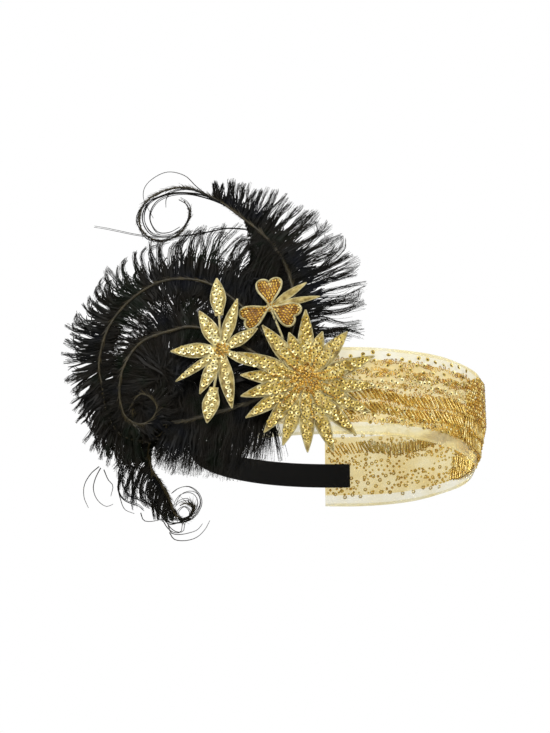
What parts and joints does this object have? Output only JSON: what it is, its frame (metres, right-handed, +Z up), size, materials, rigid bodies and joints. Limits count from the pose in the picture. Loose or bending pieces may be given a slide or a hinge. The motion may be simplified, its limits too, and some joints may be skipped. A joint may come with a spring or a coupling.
{
  "type": "flapper feather headband",
  "caption": "Beaded net headband with an elastic back, a side spray of curled black plumes and gold sequinned flowers, held open as worn.",
  "frame": {"origin": "centre of the head opening, at half the height of the net band", "axes": "+Z up as worn, +X towards the front of the head, -Y towards the side that carries the spray"},
  "size_m": [0.2708, 0.1534, 0.2401],
  "materials": {
    "gold_net": "sheer gold net with beads and sequins",
    "black_elastic": "matt woven elastic",
    "black_felt": "matt felt",
    "black_feather": "dyed feather with a faint sheen",
    "gold_sequins": "glossy metallised sequins",
    "amber_beads": "glossy amber seed beads"
  },
  "bodies": {
    "root": {"net_band": "gold_net", "elastic_band": "black_elastic", "felt_patch": "black_felt", "crest_plume": "black_feather", "arc_plume": "black_feather", "curl_plume": "black_feather", "droop_plume": "black_feather", "down_tuft": "black_feather", "star_flower": "gold_sequins", "daisy_flower": "gold_sequins", "clover_flower": "amber_beads"}
  },
  "joints": []
}
